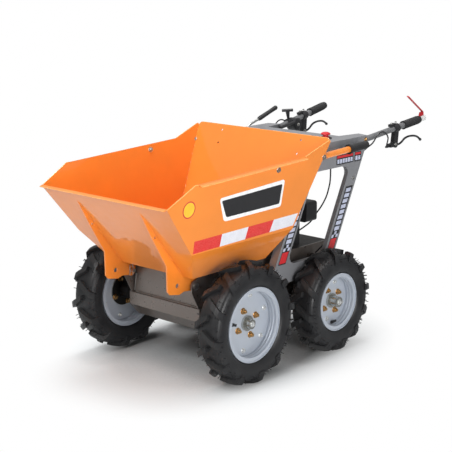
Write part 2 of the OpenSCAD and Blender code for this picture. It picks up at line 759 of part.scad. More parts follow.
module console_inside() {
    inner = moved(console_side, console_t);
    polygon(mirrored([for (i = [0 : len(inner) - 1]) i > 0 ? inner[i] : inner[i] + [console_t, 0]]));
}

module console() {
    color(grey) centred() difference() {
        translate([0, 0, console_z - console_skirt]) linear_extrude(console_skirt) polygon(mirrored(console_side));
        translate([0, 0, console_z - console_skirt - 1]) linear_extrude(console_skirt - console_t + 1) console_inside();
        on_left_bar(-bar_inside) cylinder(h = bar_inside, r = bar_r + seat_fit);
        on_right_bar(-bar_inside) cylinder(h = bar_inside, r = bar_r + seat_fit);
    }
}

module bar_tube(l) {
    difference() {
        translate([0, 0, -bar_inside]) cylinder(h = bar_inside + l, r = bar_r);
        translate([0, 0, -bar_inside - 1]) cylinder(h = bar_inside + l + 2, r = bar_r - bar_t);
    }
}

module handlebars() {
    color(silver) centred() {
        on_left_bar(0) bar_tube(left_bar_l);
        on_right_bar(0) bar_tube(right_bar_l);
    }
}

module grip_profile() {
    collar = 5;
    bore = bar_r + seat_fit;
    rotate_extrude() polygon([[bore, 0], [grip_r + 2, 0], [grip_r + 2, collar], [grip_r, collar],
        [grip_r, grip_l - 6], [grip_r - 2, grip_l - seat_fit], [bore, grip_l - seat_fit]]);
}

module hand_grips() {
    color(black) centred() {
        on_left_bar(left_bar_l - grip_l) grip_profile();
        on_right_bar(right_bar_l - grip_l) grip_profile();
    }
}

// Controls

perch_w = 20;
lever_gap = 0.5;
lever_boss = 15;
horn_l = 34;
module perch() {
    wall = 6;
    horn_half = 7;
    slot = lever_t + 2 * lever_gap;
    difference() {
        union() {
            translate([0, 0, -clamp_l / 2]) cylinder(h = clamp_l, r = bar_r + wall);
            // Arm down to the lever's pivot, with a horn for the cable
            translate([0, perch_w / 2, 0]) rotate([90, 0, 0]) linear_extrude(perch_w) {
                polygon([[-bar_r, -clamp_l / 2 + 1], [-bar_r, clamp_l / 2 - 3],
                    [-lever_drop, lever_boss * 0.9 - lever_ahead], [-lever_drop, -lever_boss * 0.9 - lever_ahead]]);
                translate([-lever_drop, -lever_ahead]) circle(r = lever_boss);
                translate([-lever_drop - horn_half, -lever_ahead - horn_l]) square([2 * horn_half, horn_l]);
            }
            // Lug for the clamp's screw
            translate([bar_r + 1, -horn_half, -clamp_l / 2 - 24]) cube([10, 2 * horn_half, 34]);
        }
        translate([0, 0, -clamp_l * 2]) cylinder(h = 4 * clamp_l, r = bar_r + seat_fit);
        translate([-lever_drop - lever_boss - 1, -slot / 2, -lever_ahead - lever_t - 1])
            cube([lever_boss + lever_t + 3, slot, 2 * clamp_l]);
    }
}

module brake_perches() {
    color(black) centred() {
        on_left_bar(clamp_at) perch();
        on_right_bar(clamp_at) perch();
    }
}

// Bend of a lever, as its lift and its place along its length
lever_bend = [[0, 0.02], [-7, 0.11], [-8, 0.18], [-3, 0.29], [7, 0.41], [9, 0.57], [3, 0.76], [-8, 0.9], [-24, 1]];
module lever() {
    path = [for (p = lever_bend) [p[0], 0, p[1] * lever_l]];
    translate([-lever_drop, 0, -lever_ahead]) {
        rotate([90, 0, 0]) cylinder(h = lever_t, r = lever_t, center = true);
        swept_tube(smooth(path, 3), lever_t / 2, 10);
        translate(path[len(path) - 1]) sphere(r = lever_t * 0.7);
    }
}

module brake_levers() {
    color(black) centred() {
        on_left_bar(clamp_at) lever();
        on_right_bar(clamp_at) lever();
    }
}

module end_cap() {
    color(white) centred() on_left_bar(left_bar_l) cylinder(h = cap_l, r = cap_r);
}

module presence_lever() {
    foot_h = 15;
    strip_w = 10;
    strip_t = 3;
    foot_z0 = 2 - cap_l / 2;
    foot_z1 = cap_l / 2 - 6;
    knee = [foot_h, foot_z1];
    rise = [sin(presence_rise), -cos(presence_rise)];
    color(red) centred() on_left_bar(left_bar_l + cap_l / 2) translate([cap_r + seat_fit, 0, 0]) {
        translate([0, strip_w / 2, 0]) rotate([90, 0, 0]) linear_extrude(strip_w)
            polygon([[0, foot_z0], [0, foot_z1], knee, knee + presence_l * rise,
                knee + presence_l * rise - strip_t * [-rise[1], rise[0]],
                [foot_h, foot_z1 - strip_t / rise[0]], [foot_h, foot_z0 + foot_h / 2]]);
    }
}

module stop_button() {
    color(red) centred() translate([-button_x, button_y, console_z]) rotate_extrude()
        polygon([[0, 0], [button_r - 4, 0], [button_r - 4, 8], [button_r - 9, 9], [button_r - 9, 13],
            [button_r - 2, 15], [button_r, 18], [button_r - 3, 22], [button_r / 2, 25], [0, 26]]);
}

// Starter handle, parked over the collar of the throttle control
collar_wall = 6;
recoil_at = 63;
module recoil_handle() {
    grip_up = 56;
    seat = bar_r + collar_wall + seat_fit;
    color(black) centred() on_right_bar(recoil_at) {
        translate([seat, 0, 0]) rotate([0, 90, 0]) cylinder(h = grip_up - seat, r1 = 5.5, r2 = 10);
        translate([grip_up, 0, 0]) rotate([65, 0, 0]) cylinder(h = 48, r = 6.5, center = true);
    }
}

gear_r = 5;
gear_grip_l = 118;
gear_y = -frame_half_w - 20;
gear_knee = [-462, gear_y, 819];
gear_end = [-636, gear_y, 878];
gear_path = [[-476, gear_y + 13, 640], [-470, gear_y + 4, 700], [-440, gear_y, 792], gear_knee,
    gear_knee + (gear_end - gear_knee) * 0.3, gear_end];
module gear_lever() {
    color(zinc) centred() {
        swept_tube(smooth(gear_path, 4), gear_r, 10);
        translate([gear_path[0][0], -frame_half_w, gear_path[0][2]]) rotate([90, 0, 0]) cylinder(h = 14, r = 11);
    }
}

module gear_lever_grip() {
    d = gear_knee - gear_end;
    color(black) centred() translate(gear_end) rotate([0, acos(d[2] / norm(d)), atan2(d[1], d[0])]) rotate_extrude()
        polygon([[0, -8], [8, -8], [10, -3], [9, 40], [10, gear_grip_l - 12], [8, gear_grip_l],
            [gear_r + seat_fit, gear_grip_l], [gear_r + seat_fit, -seat_fit], [0, -seat_fit]]);
}

module throttle_control() {
    at = 84;
    drum_radius = 28;
    drum_drop = 12;
    drum_in = 34;
    drum_out = 8;
    color(black) centred() on_right_bar(at) {
        difference() {
            union() {
                translate([-drum_drop, drum_out, 0]) rotate([90, 0, 0]) cylinder(h = drum_in + drum_out, r = drum_radius);
                translate([0, 0, recoil_at - at - 14]) cylinder(h = 28, r = bar_r + collar_wall);
            }
            translate([0, 0, -2 * drum_radius]) cylinder(h = 4 * drum_radius, r = bar_r + seat_fit);
        }
        // Thumb lever, pointing forward between the console's ears
        rod([2, -drum_in + 6, -10], [18, -drum_in - 14, -150], 7);
    }
}

// Engine

block_half_l = 74;
block_top = shaft_up + 53;
block_rear_x = -shaft_x - block_half_l;
base_h = 14;
boss_out = 12;
module engine_block() {
    fin_pitch = 14;
    color(grey) centred() translate([-shaft_x, 0, deck_z]) {
        translate([-block_half_l - 16, -crank_half + 8, 0]) cube([2 * block_half_l + 32, 2 * crank_half - 16, base_h]);
        translate([-block_half_l, -crank_half, base_h - 1]) cube([2 * block_half_l, 2 * crank_half, block_top - base_h + 1]);
        translate([0, crank_half - 1, shaft_up]) rotate([-90, 0, 0]) cylinder(h = boss_out + 1, r = 44);
        translate([-8, 0, shaft_up + 20]) rotate([0, -15, 0]) {
            translate([-38, -42, 0]) cube([76, 84, 112]);
            for (i = [0 : 4]) translate([-46, -52, 44 + i * fin_pitch]) cube([92, 104, 6]);
        }
    }
}

module fan_shroud() {
    fan_y = crank_half + seat_fit;
    color(black) centred() translate([-shaft_x, -fan_y, shaft_z]) rotate([90, 0, 0]) difference() {
        union() {
            cylinder(h = shroud_d, r = shroud_r - 6);
            translate([-40, 0, 0]) cube([80, shroud_r + 20, shroud_d]);
            translate([0, 0, shroud_d - 1]) cylinder(h = 26, r = shroud_r - 34);
        }
        for (i = [0 : 11]) rotate(30 * i) translate([shroud_r - 66, -4, shroud_d + 8]) cube([22, 8, 30]);
    }
}

tank_up = 142;
tank_back = 125;
tank_z = shaft_z + tank_up;
tank_rear_x = -shaft_x - tank_back;
module fuel_tank() {
    corner_r = 26;
    color(black) centred() {
        translate([tank_rear_x, -tank_w / 2, tank_z]) linear_extrude(tank_h) round_plate(tank_l, tank_w, corner_r);
        translate([tank_rear_x + 60, 30, tank_z + tank_h]) cylinder(h = 16, r = 30);
        translate([-shaft_x - 40, -crank_half + 4, deck_z + block_top])
            cube([40, 14, tank_z + 1 - deck_z - block_top]);
    }
}

cleaner_l = 68;
module air_cleaner() {
    color(black) centred() translate([block_rear_x - cleaner_l, 46, shaft_z - 23])
        rotate([90, 0, 90]) linear_extrude(cleaner_l) round_plate(104, 82, 12);
}

muffler_l = 80;
muffler_w = 118;
muffler_h = 96;
muffler_gap = 8;
module muffler() {
    color(black) centred() {
        translate([block_rear_x - muffler_gap - muffler_l, -78, shaft_z - 11])
            rotate([90, 0, 90]) linear_extrude(muffler_l) round_plate(muffler_w, muffler_h, 20);
        translate([block_rear_x - muffler_gap - 1, -50, shaft_z + 24])
            rotate([0, 90, 0]) cylinder(h = muffler_gap + 1, r = 15);
    }
}

cover_d = 38;
cover_r = 50;
module belt_cover() {
    y0 = crank_half + boss_out + seat_fit;
    color(black) centred() across(y0, y0 + cover_d) {
        translate([-shaft_x, shaft_z]) circle(r = cover_r);
        translate([-shaft_x - cover_r, deck_z]) square([2 * cover_r, shaft_up]);
    }
}

// Brakes

drum_y = case_half_w + boss_l;
module brake_drums() {
    color(steel) centred() both_sides() translate([rear_x, drum_y, rear_tyre_r]) rotate([-90, 0, 0]) difference() {
        union() {
            cylinder(h = drum_w, r = drum_r);
            cylinder(h = 4, r = drum_r + 4);
        }
        translate([0, 0, -1]) cylinder(h = drum_w + 2, r = axle_r + seat_fit);
    }
}

arm_lean = 28;
module brake_arms() {
    color(steel) centred() both_sides() translate([rear_x, drum_y - seat_fit, rear_tyre_r]) rotate([0, -arm_lean, 0]) {
        translate([-9, -5, drum_r - 20]) cube([18, 5, brake_arm_l - drum_r + 20]);
        translate([0, 0, brake_arm_l]) rotate([90, 0, 0]) cylinder(h = 14, r = 12);
    }
}

// Cables, held by the levers and the frame

function brake_route(rise) = let (l = clamp_at - lever_ahead - horn_l - 3 * seat_fit)
    [over_bar(l, -lever_drop, rise), over_bar(l - 18, -lever_drop, rise), [-722, 263, 790], [-694, 269, 815],
     [-663, 271, 824], [-632, 270, 812], [-612, 262, 782], [-594, 238, 756], [-556, 216, 714], [-494, 214, 605],
     [-450, 214, 512], [-409, 214, 429], [-378, 211, 398], [-352, 202, 378], [-335, 190, 357.4]];
throttle_route = [[-466, 150, 815], [-474, 150, 750], [-479, 150, 690], [-478, 150, 633], [-469, 150, 600],
    [-455, 148, 565], [-434, 140, 528], [-414, 128, 498], [-394, 118, 468], [-365, 112, 452], [-327, 110, 440]];
cable_r = 3;
module brake_cables() {
    color(black) centred() {
        swept_tube(smooth(brake_route(bar_rise), 3), cable_r, 8);
        mirror([0, 1, 0]) swept_tube(smooth(brake_route(right_rise), 3), cable_r, 8);
    }
}

module throttle_cable() { color(black) centred() swept_tube(smooth(throttle_route, 3), cable_r, 8); }

chassis_sides();
chassis_front_panel();
chassis_deck();
chassis_pan();
axle_case_front();
axle_case_rear();
axles();
rest_pads();
pivot_pins();
side_frame_left();
side_frame_right();
console();
handlebars();
hand_grips();
brake_perches();
brake_levers();
end_cap();
presence_lever();
stop_button();
recoil_handle();
gear_lever();
gear_lever_grip();
throttle_control();
engine_block();
fan_shroud();
fuel_tank();
air_cleaner();
muffler();
belt_cover();
brake_drums();
brake_arms();
brake_cables();
throttle_cable();
skip_floor();
skip_side_left();
skip_side_right();
pivot_fins();
tip_handle();
tip_grip();
tyre_fl();
rim_fl();
hub_fl();
tyre_fr();
rim_fr();
hub_fr();
tyre_rl();
rim_rl();
hub_rl();
tyre_rr();
rim_rr();
hub_rr();
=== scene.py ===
import json
import math
import random

import bmesh
import bpy
from mathutils import Matrix, Vector


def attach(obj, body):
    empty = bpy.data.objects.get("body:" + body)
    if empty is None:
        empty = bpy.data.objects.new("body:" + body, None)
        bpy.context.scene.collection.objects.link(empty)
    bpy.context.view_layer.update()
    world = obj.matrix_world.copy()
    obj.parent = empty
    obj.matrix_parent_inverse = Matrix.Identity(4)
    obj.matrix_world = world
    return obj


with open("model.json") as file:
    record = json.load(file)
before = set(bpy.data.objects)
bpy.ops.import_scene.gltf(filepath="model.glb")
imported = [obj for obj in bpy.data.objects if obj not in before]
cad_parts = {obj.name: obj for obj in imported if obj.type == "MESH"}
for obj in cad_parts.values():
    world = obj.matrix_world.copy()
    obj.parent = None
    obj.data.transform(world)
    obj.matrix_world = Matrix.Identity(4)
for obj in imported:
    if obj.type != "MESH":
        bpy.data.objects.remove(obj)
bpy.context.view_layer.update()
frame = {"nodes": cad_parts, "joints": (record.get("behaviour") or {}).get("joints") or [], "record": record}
nodes = frame["nodes"]
joints = {joint["name"]: joint["pos_m"] for joint in frame["joints"]}
print("frame loaded with", len(nodes), "solids")

mm = 0.001
pivotX = 360  # mm, tipping axis ahead of the middle of the wheelbase
shiftX = joints["skip_tip"][0] * 1000 - pivotX


def at(x, y, z):
    return Vector((x + shiftX, y, z)) / 1000  # machine millimetres to metres


# camera at the photograph's place
viewPoint = {"eye": (3388, 3068, 1560), "aim": (0, 3.6, 498), "lens": 94.94, "sensor": 36}
cameraData = bpy.data.cameras.new("viewPoint")
cameraData.lens = viewPoint["lens"]
cameraData.sensor_width = viewPoint["sensor"]
camera = bpy.data.objects.new("viewPoint", cameraData)
bpy.context.scene.collection.objects.link(camera)
camera.location = at(*viewPoint["eye"])
camera.rotation_euler = (at(*viewPoint["aim"]) - camera.location).to_track_quat("-Z", "Y").to_euler()
bpy.context.scene.camera = camera
bpy.context.scene.view_settings.view_transform = "Standard"
print("camera set")


class Wire:
    def __init__(self, finish, socket):
        self.finish, self.socket = finish, socket

    def maths(self, operation, other, swapped=False):
        first, second = (other, self) if swapped else (self, other)
        return self.finish.node("ShaderNodeMath", {"operation": operation}, {0: first, 1: second})

    def __add__(self, other):
        return self.maths("ADD", other)

    def __radd__(self, other):
        return self.maths("ADD", other, True)

    def __sub__(self, other):
        return self.maths("SUBTRACT", other)

    def __rsub__(self, other):
        return self.maths("SUBTRACT", other, True)

    def __mul__(self, other):
        return self.maths("MULTIPLY", other)

    def __rmul__(self, other):
        return self.maths("MULTIPLY", other, True)

    def __truediv__(self, other):
        return self.maths("DIVIDE", other)

    def __pow__(self, other):
        return self.maths("POWER", other)


class Finish:
    def __init__(self, name, **fixed):
        self.material = bpy.data.materials.new(name)
        self.material.use_nodes = True
        self.tree = self.material.node_tree
        self.shader = self.tree.nodes["Principled BSDF"]
        for socket, value in fixed.items():
            self.shader.inputs[socket.replace("_", " ")].default_value = value
        self.place = self.node("ShaderNodeTexCoord", out="Object")

    def node(self, kind, settings=None, sockets=None, out=0):
        made = self.tree.nodes.new(kind)
        for key, value in (settings or {}).items():
            setattr(made, key, value)
        for key, value in (sockets or {}).items():
            if isinstance(value, Wire):
                self.tree.links.new(value.socket, made.inputs[key])
            else:
                made.inputs[key].default_value = value
        return Wire(self, made.outputs[out])

    def noise(self, scale, detail=2, rough=0.5):
        return self.node("ShaderNodeTexNoise", {}, {
            "Vector": self.place, "Scale": scale, "Detail": detail, "Roughness": rough})

    def cells(self, feature, scale):
        return self.node("ShaderNodeTexVoronoi", {"feature": feature}, {"Vector": self.place, "Scale": scale})

    def span(self, value, low, high, start=0.0, end=1.0):
        return self.node("ShaderNodeMapRange", {}, {0: value, 1: low, 2: high, 3: start, 4: end})

    def blend(self, amount, first, second):
        return self.node("ShaderNodeMix", {"data_type": "RGBA"},
                         {0: amount, 6: colour(first), 7: colour(second)}, out=2)

    def axes(self):
        split = self.node("ShaderNodeSeparateXYZ", {}, {"Vector": self.place})
        outputs = split.socket.node.outputs
        return [Wire(self, outputs[k]) for k in range(3)]

    def feed(self, **links):
        for socket, wire in links.items():
            self.tree.links.new(wire.socket, self.shader.inputs[socket.replace("_", " ")])
        return self

    def bump(self, height, distance, strength=1.0):
        normal = self.node("ShaderNodeBump", {}, {
            "Strength": strength, "Distance": distance, "Height": height})
        return self.feed(Normal=normal)


def colour(value):
    return value if isinstance(value, Wire) or len(value) == 4 else (*value, 1)


def shade(base, factor):
    return tuple(min(1.0, c * factor) for c in base)


def sprayed(name, base, rough, metal=0.0, flake=0.0, coat=0.0, coatRough=0.1, peel=0.00005):
    f = Finish(name, Metallic=metal, Coat_Roughness=coatRough, Coat_Weight=coat)
    cloud = f.noise(5, 3, 0.6)
    fine = f.noise(620, 2)  # orange peel of the sprayed coat
    tone = f.blend(f.span(cloud, 0.3, 0.7), shade(base, 0.95), shade(base, 1.04))
    if flake:
        grains = f.noise(2600, 1)
        tone = f.blend(f.span(grains, 0.35, 0.75, 0, flake), tone, shade(base, 1.9))
    scuff = f.noise(38, 4, 0.7)
    f.feed(Base_Color=tone, Roughness=f.span(scuff, 0.3, 0.75, rough - 0.05, rough + 0.09))
    return f.bump(fine, peel)


def plated(name, base, tint, rough, metal=1.0):
    f = Finish(name, Metallic=metal)
    cloud = f.noise(90, 4, 0.65)
    fine = f.noise(1500, 2)
    f.feed(Base_Color=f.blend(f.span(cloud, 0.3, 0.7), base, tint),
           Roughness=f.span(fine, 0.3, 0.7, rough - 0.06, rough + 0.1))
    return f.bump(cloud, 0.00004)


def moulded(name, base, rough, grain=1400, depth=0.00008):
    f = Finish(name)
    cloud = f.noise(14, 3, 0.6)
    f.feed(Base_Color=f.blend(f.span(cloud, 0.3, 0.7), shade(base, 0.85), shade(base, 1.2)),
           Roughness=f.span(cloud, 0.3, 0.7, rough - 0.06, rough + 0.06))
    return f.bump(f.cells("F1", grain), depth, 0.6)


def castMetal(name, base):
    f = Finish(name, Metallic=0.85)
    sand = f.noise(900, 4, 0.7)
    cloud = f.noise(22, 3, 0.6)
    f.feed(Base_Color=f.blend(f.span(cloud, 0.3, 0.7), shade(base, 0.8), shade(base, 1.12)),
           Roughness=f.span(sand, 0.3, 0.7, 0.42, 0.6))
    return f.bump(sand, 0.00025)


def tyreRubber(name, axle, crown):
    f = Finish(name, Specular_IOR_Level=0.36)
    x, _, z = f.axes()
    reach = ((x - axle[0]) ** 2 + (z - axle[2]) ** 2) ** 0.5
    fine = f.noise(900, 3, 0.6)
    cloud = f.noise(16, 4, 0.65)
    worn = f.span(reach, crown - 0.022, crown, 0, 1)  # lug faces are a little paler
    base = f.blend(f.span(cloud, 0.3, 0.72), (0.0105, 0.0105, 0.012), (0.022, 0.0218, 0.023))
    base = f.blend(worn * 0.5, base, (0.031, 0.0305, 0.03))
    rings = f.node("ShaderNodeMath", {"operation": "SINE"}, {0: reach * 1500})
    onWall = f.span(reach, crown - 0.085, crown - 0.075, 1, 0)  # mould rings above the rim
    f.feed(Base_Color=base, Roughness=f.span(cloud, 0.3, 0.7, 0.34, 0.48))
    return f.bump(fine * 0.25 + rings * onWall * 0.25, 0.0004)


def reflectiveTape(name, base, paleLine):
    f = Finish(name, Coat_Roughness=0.08, Coat_Weight=0.6)
    cells = f.cells("DISTANCE_TO_EDGE", 330)
    lines = f.span(cells, 0.02, 0.09, 1, 0)
    cloud = f.noise(30, 3)
    tone = f.blend(f.span(cloud, 0.3, 0.7), shade(base, 0.94), shade(base, 1.04))
    f.feed(Base_Color=f.blend(lines * 0.35, tone, paleLine), Roughness=f.span(cells, 0, 0.2, 0.42, 0.26))
    return f.bump(cells, 0.0001)


def printedFilm(name, base, rough=0.38):
    f = Finish(name)
    cloud = f.noise(60, 3, 0.6)
    fine = f.noise(1800, 2)
    f.feed(Base_Color=f.blend(f.span(cloud, 0.3, 0.7), shade(base, 0.9), shade(base, 1.08)),
           Roughness=f.span(cloud, 0.3, 0.7, rough - 0.05, rough + 0.07))
    return f.bump(fine, 0.00003)


def hubFinish(name, edge):
    f = Finish(name, Metallic=1.0)
    _, y, _ = f.axes()
    bare = f.span(y * y, edge * edge - 0.001, edge * edge + 0.001)  # plated outside, dark inside
    cloud = f.noise(90, 4, 0.65)
    plate = f.blend(f.span(cloud, 0.3, 0.7), (0.56, 0.56, 0.52), (0.42, 0.42, 0.4))
    f.feed(Base_Color=f.blend(bare, (0.045, 0.043, 0.042), plate),
           Roughness=f.span(bare, 0, 1, 0.55, 0.22))
    return f.bump(cloud, 0.00004)


finishes = {
    "orange_paint": sprayed("orangePaint", (0.86, 0.25, 0.028), 0.34,
                            coat=1.0, coatRough=0.035, peel=0.000012),
    "chassis_paint": sprayed("chassisPaint", (0.185, 0.158, 0.142), 0.3, metal=0.6, flake=0.25, coat=0.3),
    "grey_paint": sprayed("framePaint", (0.29, 0.293, 0.31), 0.36, metal=0.4, flake=0.15, coat=0.2),
    "silver_paint": sprayed("wheelPaint", (0.45, 0.485, 0.545), 0.36, metal=0.3, flake=0.12, coat=0.15),
    "zinc": plated("zincPlate", (0.62, 0.62, 0.58), (0.5, 0.5, 0.5), 0.3),
    "alloy": castMetal("castAlloy", (0.36, 0.36, 0.37)),
    "black_plastic": moulded("blackMoulding", (0.018, 0.018, 0.02), 0.42),
    "black_metal": sprayed("blackPaint", (0.02, 0.02, 0.022), 0.34),
    "soft_black": moulded("gripRubber", (0.016, 0.016, 0.017), 0.6, grain=2200),
    "red_plastic": moulded("redMoulding", (0.5, 0.018, 0.026), 0.34, depth=0.00003),
    "white_plastic": moulded("whiteMoulding", (0.72, 0.72, 0.70), 0.36, depth=0.00003),
}
goldPlate = plated("goldPlate", (0.55, 0.3, 0.1), (0.64, 0.42, 0.2), 0.22)
brightZinc = plated("brightZinc", (0.78, 0.79, 0.78), (0.66, 0.67, 0.66), 0.24, 0.65)
copperPlate = plated("copperPlate", (0.56, 0.33, 0.2), (0.45, 0.34, 0.27), 0.36)
weldMetal = castMetal("weldMetal", (0.3, 0.285, 0.27))
filmRed = printedFilm("filmRed", (0.6, 0.03, 0.035))
filmPale = printedFilm("filmPale", (0.5, 0.53, 0.66))
filmDark = printedFilm("filmDark", (0.022, 0.022, 0.024))
filmWhite = printedFilm("filmWhite", (0.84, 0.84, 0.84))
filmAmber = printedFilm("filmAmber", (0.86, 0.5, 0.03))
barPaint = sprayed("barPaint", (0.24, 0.243, 0.25), 0.34, metal=0.5, flake=0.1)
# painted shade: the chassis deck is coloured near black, darker than the chassis paint
deckShadePaint = sprayed("deckShadePaint", (0.05, 0.047, 0.045), 0.5, metal=0.3, flake=0.1)
# painted highlight: the rolled edges get a paler orange than the skip paint, for the light lines they catch
edgeHighlightPaint = sprayed("edgeHighlightPaint", (0.93, 0.4, 0.11), 0.24, coat=1.0, coatRough=0.04)
tapeRed = reflectiveTape("tapeRed", (0.7, 0.03, 0.025), (0.78, 0.13, 0.11))
tapeWhite = reflectiveTape("tapeWhite", (0.74, 0.74, 0.8), (0.9, 0.9, 0.93))
hubMetal = hubFinish("hubMetal", 0.322)
tyreFront = tyreRubber("tyreRubberFront", joints["wheel_fl_spin"], 0.230)
tyreRear = tyreRubber("tyreRubberRear", joints["wheel_rl_spin"], 0.205)

ownFinish = {"hub_": hubMetal, "tyre_f": tyreFront, "tyre_r": tyreRear,
             "chassis_deck": deckShadePaint, "handlebars": barPaint}  # by the start of the solid's name


def finishFor(part):
    for start, made in ownFinish.items():
        if part["node"].startswith(start):
            return made
    return finishes[part["material_slot"]]


for part in frame["record"]["subparts"]:
    coats = nodes[part["node"]].data.materials
    coats.clear()
    coats.append(finishFor(part).material)
print("finishes on every solid")

# studio
studio = {
    "floorSize": 60, "floorTone": (0.91675, 0.95, 0.96425),
    "white": (0.45, 0.82), "oval": (0.2, 1.05, 0.75),  # white from here on, oval's middle and half axes
    "near": 0.4, "closeness": (0.12, 0.72), "closeTone": (0.24, 0.24, 0.24),  # shadow under the machine
    "flagFade": (0.45, 0.95), "flagShare": 0.4, "flagTone": 0.2,  # dim card that the paint mirrors
    "world": 0.1, "mirrored": 0.4, "lampAim": (0.2, 0, 0.4),
}


class Sky(Finish):
    def __init__(self, name):
        world = bpy.data.worlds.new(name)
        world.use_nodes = True
        bpy.context.scene.world = world
        self.tree = world.node_tree
        self.shader = self.tree.nodes["Background"]


def seenBy(finish, kind):
    return finish.node("ShaderNodeLightPath", out="Is " + kind + " Ray")


def glow(finish, strength):
    return finish.node("ShaderNodeEmission", {}, {"Color": (1, 1, 1, 1), "Strength": strength})


def floorFinish():
    f = Finish("studioFloor", Roughness=0.9, Specular_IOR_Level=0.1)
    near = f.node("ShaderNodeAmbientOcclusion", {"samples": 8}, {"Distance": studio["near"]}, out="AO")
    clear = f.span(near, *studio["closeness"])  # darker where the machine stands close over it
    f.feed(Base_Color=f.blend(clear, studio["closeTone"], studio["floorTone"]))
    x, y, _ = f.axes()
    middle, halfLong, halfWide = studio["oval"]
    along, aside = (x - middle) / halfLong, y / halfWide
    far = f.span((along * along + aside * aside) ** 0.5, *studio["white"])
    lit = Wire(f, f.shader.outputs[0])
    seen = f.node("ShaderNodeMixShader", {}, {0: seenBy(f, "Camera") * far, 1: lit, 2: glow(f, 1.0)})
    flag = seenBy(f, "Glossy") * f.span(y, *studio["flagFade"], studio["flagShare"], 1)
    both = f.node("ShaderNodeMixShader", {}, {0: flag, 1: seen, 2: glow(f, studio["flagTone"])})
    f.tree.links.new(both.socket, f.tree.nodes["Material Output"].inputs["Surface"])
    return f


def makeFloor():
    bm = bmesh.new()
    bmesh.ops.create_grid(bm, x_segments=1, y_segments=1, size=studio["floorSize"] / 2)
    mesh = bpy.data.meshes.new("studioFloor")
    bm.to_mesh(mesh)
    bm.free()
    floor = bpy.data.objects.new("studioFloor", mesh)
    bpy.context.scene.collection.objects.link(floor)
    mesh.materials.append(floorFinish().material)


def makeSky():
    sky = Sky("studioSky")
    sky.shader.inputs["Color"].default_value = (1, 1, 1, 1)
    shown = sky.span(seenBy(sky, "Glossy"), 0, 1, studio["world"], studio["mirrored"])
    for kind in ("Transmission", "Camera"):
        shown = shown.maths("MAXIMUM", seenBy(sky, kind))
    sky.feed(Strength=shown)


lamps = {
    "overhead": {"place": (0.0, -0.35, 4.0), "size": 1.8, "power": 128},
    "leftBox": {"place": (1.6, 4.2, 1.05), "size": 2.0, "power": 130},
    "frontBox": {"place": (3.4, 0.0, 3.1), "size": 1.8, "power": 80},
}


def makeLamps():
    for name, form in lamps.items():
        data = bpy.data.lights.new(name, "AREA")
        data.shape = "SQUARE"
        data.size = form["size"]
        data.energy = form["power"]
        lamp = bpy.data.objects.new(name, data)
        bpy.context.scene.collection.objects.link(lamp)
        lamp.location = form["place"]
        lamp.rotation_euler = (Vector(studio["lampAim"]) - lamp.location).to_track_quat("-Z", "Y").to_euler()


makeFloor()
makeSky()
makeLamps()
print("studio lit")


# small tools for the fittings, sizes in millimetres and places in metres
def lathe(outline, turns=24):
    bm = bmesh.new()
    points = [bm.verts.new((r * mm, 0, z * mm)) for r, z in outline]
    edges = [bm.edges.new(pair) for pair in zip(points, points[1:])]
    bmesh.ops.spin(bm, geom=points + edges, cent=(0, 0, 0), axis=(0, 0, 1), angle=math.tau, steps=turns,
                   use_merge=True)
    bmesh.ops.remove_doubles(bm, verts=bm.verts[:], dist=1e-6)
    bmesh.ops.recalc_face_normals(bm, faces=bm.faces[:])
    return bm


def ease(bm, edges, offset, segments=2):
    bmesh.ops.bevel(bm, geom=edges, offset=offset * mm, segments=segments, profile=0.5, affect="EDGES",
                    material=-1)
    return bm


def prism(sides, radius, low, high, chamfer):
    bm = bmesh.new()
    middle = Matrix.Translation((0, 0, (low + high) / 2 * mm))
    bmesh.ops.create_cone(bm, cap_ends=True, segments=sides, radius1=radius * mm, radius2=radius * mm,
                          depth=(high - low) * mm, matrix=middle)
    crown = [e for e in bm.edges if min(v.co.z for v in e.verts) > high * mm - 1e-6]
    return ease(bm, crown, chamfer)


def block(size, chamfer):
    bm = bmesh.new()
    bmesh.ops.create_cube(bm, size=mm)
    bmesh.ops.scale(bm, vec=size, verts=bm.verts[:])
    return ease(bm, bm.edges[:], chamfer)


def add(bm, part, place=None):
    mesh = bpy.data.meshes.new("step")
    part.to_mesh(mesh)
    if place is not None:
        mesh.transform(place)
    bm.from_mesh(mesh)
    bpy.data.meshes.remove(mesh)


def joined(*parts):
    bm = parts[0]
    for part in parts[1:]:
        add(bm, part)
        part.free()
    return bm


def scatter(part, places):
    bm = bmesh.new()
    for place in places:
        add(bm, part, place)
    part.free()
    return bm


def facing(spot, axis, turn=0.0):
    swing = Vector(axis).to_track_quat("Z", "Y").to_matrix().to_4x4()
    return Matrix.Translation(spot) @ swing @ Matrix.Rotation(turn, 4, "Z")


def turnedOver(bm):
    bmesh.ops.scale(bm, vec=(1, -1, 1), verts=bm.verts[:])
    bmesh.ops.reverse_faces(bm, faces=bm.faces[:])
    return bm


def mirrored(bm):
    return joined(bm, turnedOver(bm.copy()))


sharpAngle = math.radians(35)


def piece(name, bm, finish, body):
    for face in bm.faces:
        face.smooth = True
    for edge in bm.edges:
        if len(edge.link_faces) == 2:
            edge.smooth = edge.calc_face_angle(0) < sharpAngle
    mesh = bpy.data.meshes.new(name)
    bm.to_mesh(mesh)
    bm.free()
    mesh.materials.append(finish.material)
    made = bpy.data.objects.new(name, mesh)
    bpy.context.scene.collection.objects.link(made)
    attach(made, body)


def slotPiece(name, bm, body, slot):
    piece(name, bm, finishes[slot], body)


